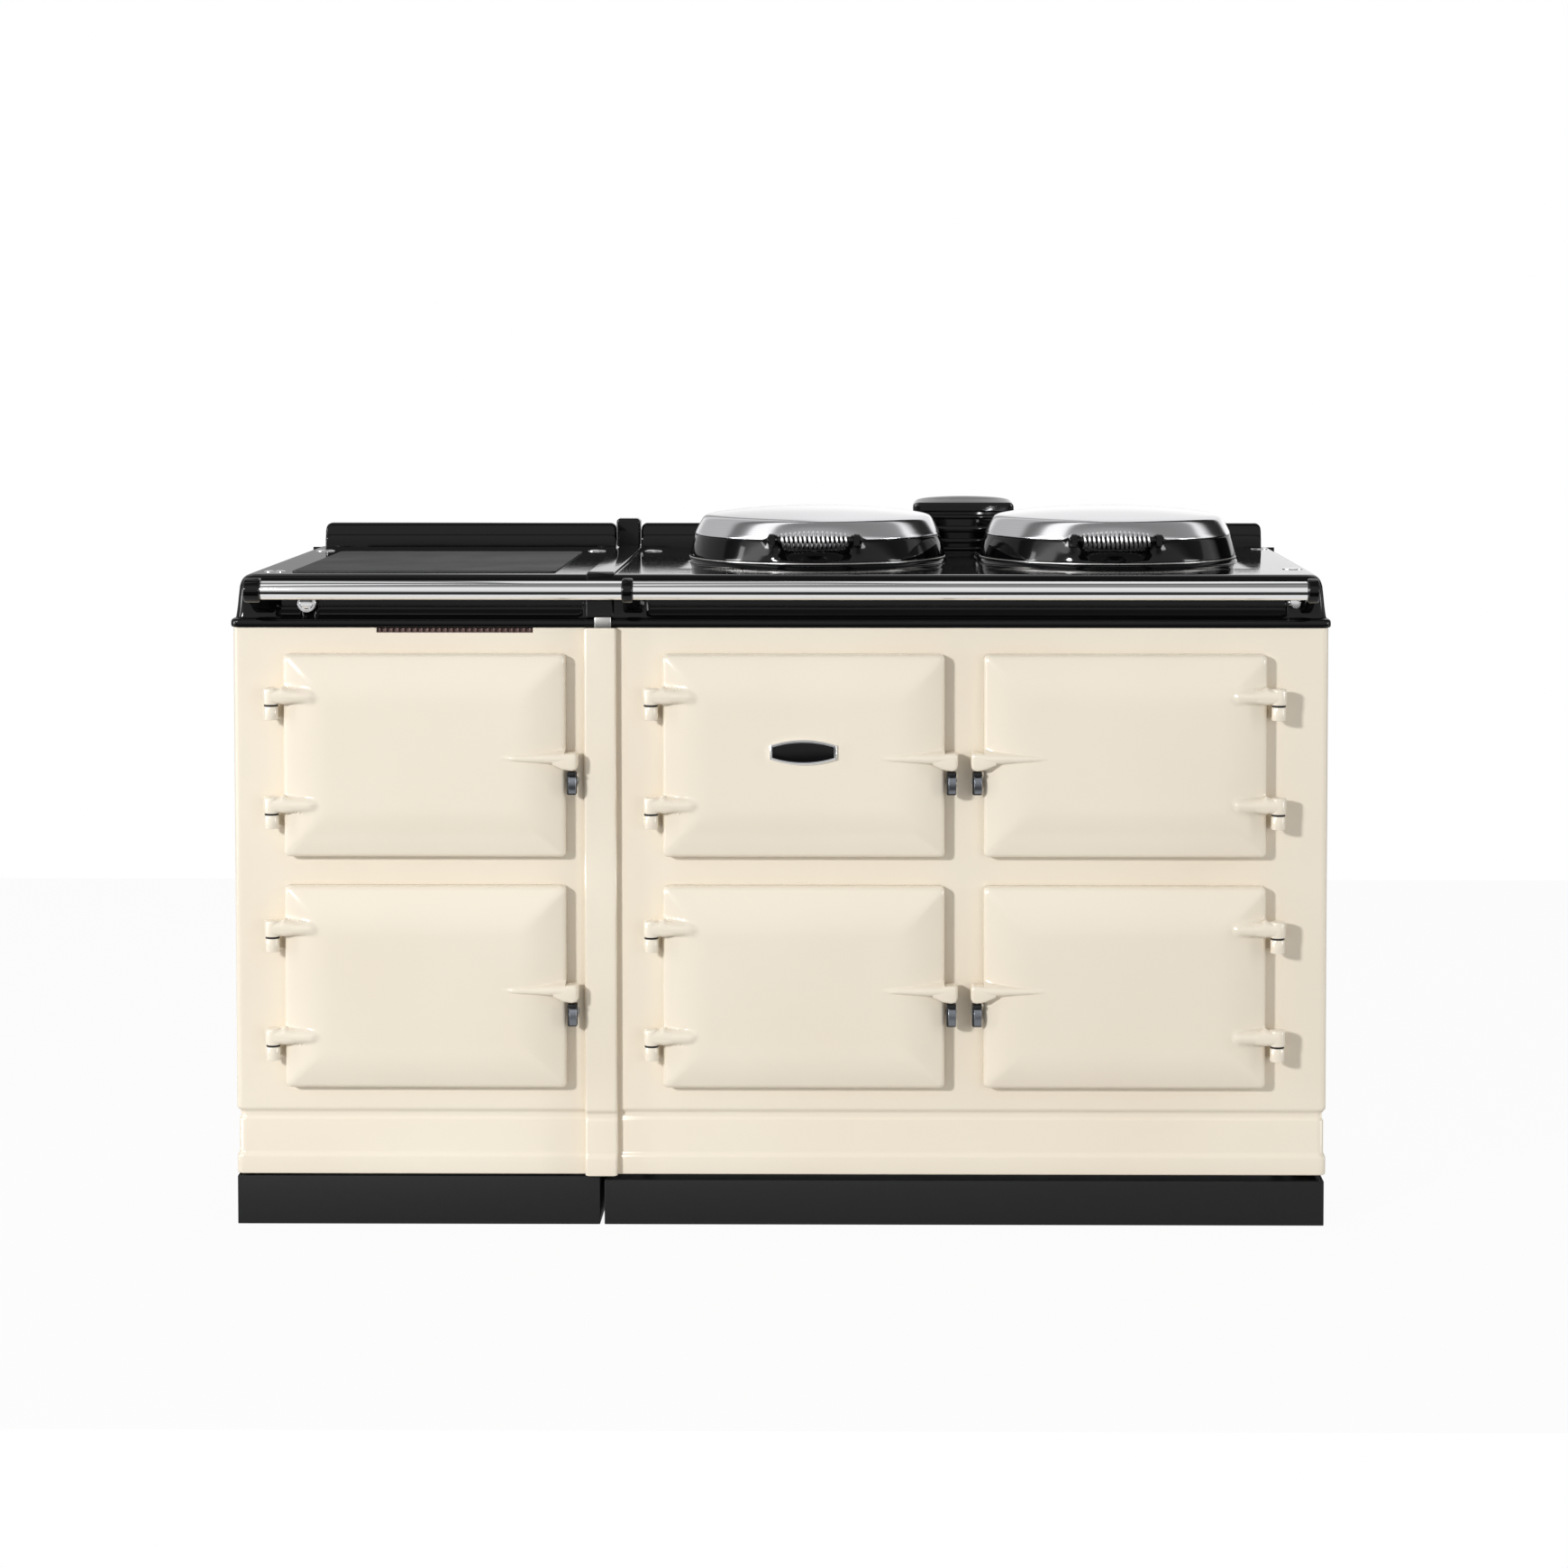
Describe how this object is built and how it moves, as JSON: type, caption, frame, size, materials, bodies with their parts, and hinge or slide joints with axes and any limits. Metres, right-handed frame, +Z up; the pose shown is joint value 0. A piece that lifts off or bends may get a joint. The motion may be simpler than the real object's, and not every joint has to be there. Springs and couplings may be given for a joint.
{
  "type": "cast iron range cooker",
  "caption": "Wide cream enamelled range cooker with black hob, domed hinged lids, warming plate, hinged oven doors, polished handrails and a plinth.",
  "frame": {"origin": "on the floor under the centre of the whole cooker's box", "axes": "+X to the right seen from the front, +Y to the back, +Z up; the doors face -Y"},
  "size_m": [1.483, 0.69, 0.9625],
  "materials": {
    "cream_enamel": "glossy cream vitreous enamel",
    "black_enamel": "glossy black vitreous enamel",
    "plinth_paint": "satin near-black powder coat",
    "cast_iron": "matt dark grey casting",
    "polished_chrome": "polished",
    "stainless": "fine brushed",
    "zinc_steel": "dull galvanised",
    "aluminium_sheet": "satin sheet",
    "rope": "woven glass rope",
    "mineral_wool": "pressed wool",
    "panel_black": "gloss black touch panel",
    "gland_plastic": "moulded",
    "inlet_brown": "dark brown paint"
  },
  "bodies": {
    "cooker_body": {"plinths": "plinth_paint", "levelling_feet": "zinc_steel", "base_frames": "zinc_steel", "front_plate_left": "cream_enamel", "front_plate_main": "cream_enamel", "cover_strip": "cream_enamel", "strip_clip": "stainless", "side_panels": "cream_enamel", "back_panels": "zinc_steel", "top_plate_left": "black_enamel", "top_plate_main": "black_enamel", "joint_strip": "black_enamel", "upstands": "black_enamel", "vent_body": "black_enamel", "vent_cap": "black_enamel", "handrails": "stainless", "rail_brackets": "black_enamel", "warming_plate": "cast_iron", "plate_caps": "polished_chrome", "hinge_posts": "cream_enamel", "hinge_pins": "stainless", "door_catches": "stainless", "door_seals": "rope", "roasting_oven": "cast_iron", "baking_oven": "cast_iron", "simmering_oven": "cast_iron", "upper_warming_oven": "cast_iron", "lower_warming_oven": "cast_iron", "control_box": "black_enamel", "grid_shelves": "stainless", "hotplates": "cast_iron", "heating_elements": "stainless", "insulation_jackets": "mineral_wool", "control_panel": "panel_black", "lid_hinge_brackets": "stainless", "cable_entry": "gland_plastic", "air_inlet_trim": "inlet_brown"},
    "roasting_door_leaf": {"roasting_door": "cream_enamel", "roasting_door_panel": "aluminium_sheet"},
    "baking_door_leaf": {"baking_door": "cream_enamel", "baking_door_panel": "aluminium_sheet"},
    "simmering_door_leaf": {"simmering_door": "cream_enamel", "simmering_door_panel": "aluminium_sheet"},
    "control_door_leaf": {"control_door": "cream_enamel", "control_door_panel": "aluminium_sheet", "badge": "polished_chrome"},
    "upper_warming_door_leaf": {"upper_warming_door": "cream_enamel", "upper_warming_door_panel": "aluminium_sheet"},
    "lower_warming_door_leaf": {"lower_warming_door": "cream_enamel", "lower_warming_door_panel": "aluminium_sheet"},
    "boiling_lid": {"boiling_lid_base": "black_enamel", "boiling_lid_shell": "polished_chrome", "boiling_lid_rod": "stainless", "boiling_lid_coil": "polished_chrome"},
    "simmering_lid": {"simmering_lid_base": "black_enamel", "simmering_lid_shell": "polished_chrome", "simmering_lid_rod": "stainless", "simmering_lid_coil": "polished_chrome"},
    "push_button_body": {"push_button": "polished_chrome"},
    "control_knob_body": {"control_knob": "polished_chrome"}
  },
  "joints": [
    {"name": "roasting_door_hinge", "type": "hinge", "parent": "cooker_body", "child": "roasting_door_leaf", "pos_m": [0.668, -0.2955, 0.641], "axis": [0, 0, 1], "range_deg": [0, 110]},
    {"name": "baking_door_hinge", "type": "hinge", "parent": "cooker_body", "child": "baking_door_leaf", "pos_m": [-0.1725, -0.2955, 0.328], "axis": [0, 0, -1], "range_deg": [0, 110]},
    {"name": "simmering_door_hinge", "type": "hinge", "parent": "cooker_body", "child": "simmering_door_leaf", "pos_m": [0.668, -0.2955, 0.328], "axis": [0, 0, 1], "range_deg": [0, 110]},
    {"name": "control_door_hinge", "type": "hinge", "parent": "cooker_body", "child": "control_door_leaf", "pos_m": [-0.1725, -0.2955, 0.641], "axis": [0, 0, -1], "range_deg": [0, 110]},
    {"name": "upper_warming_door_hinge", "type": "hinge", "parent": "cooker_body", "child": "upper_warming_door_leaf", "pos_m": [-0.682, -0.2955, 0.641], "axis": [0, 0, -1], "range_deg": [0, 110]},
    {"name": "lower_warming_door_hinge", "type": "hinge", "parent": "cooker_body", "child": "lower_warming_door_leaf", "pos_m": [-0.682, -0.2955, 0.328], "axis": [0, 0, -1], "range_deg": [0, 110]},
    {"name": "boiling_lid_hinge", "type": "hinge", "parent": "cooker_body", "child": "boiling_lid", "pos_m": [0.0435, 0.2465, 0.9], "axis": [-1, 0, 0], "range_deg": [0, 95]},
    {"name": "simmering_lid_hinge", "type": "hinge", "parent": "cooker_body", "child": "simmering_lid", "pos_m": [0.4605, 0.2465, 0.9], "axis": [-1, 0, 0], "range_deg": [0, 95]},
    {"name": "push_button_travel", "type": "slide", "parent": "cooker_body", "child": "push_button_body", "axis": [0, 1, 0], "range_m": [0, 0.003], "stiffness_N_per_m": 400, "springref_m": -0.001},
    {"name": "control_knob_turn", "type": "hinge", "parent": "cooker_body", "child": "control_knob_body", "pos_m": [0.6915, -0.2685, 0.8475], "axis": [0, -1, 0], "range_deg": [0, 270]}
  ]
}
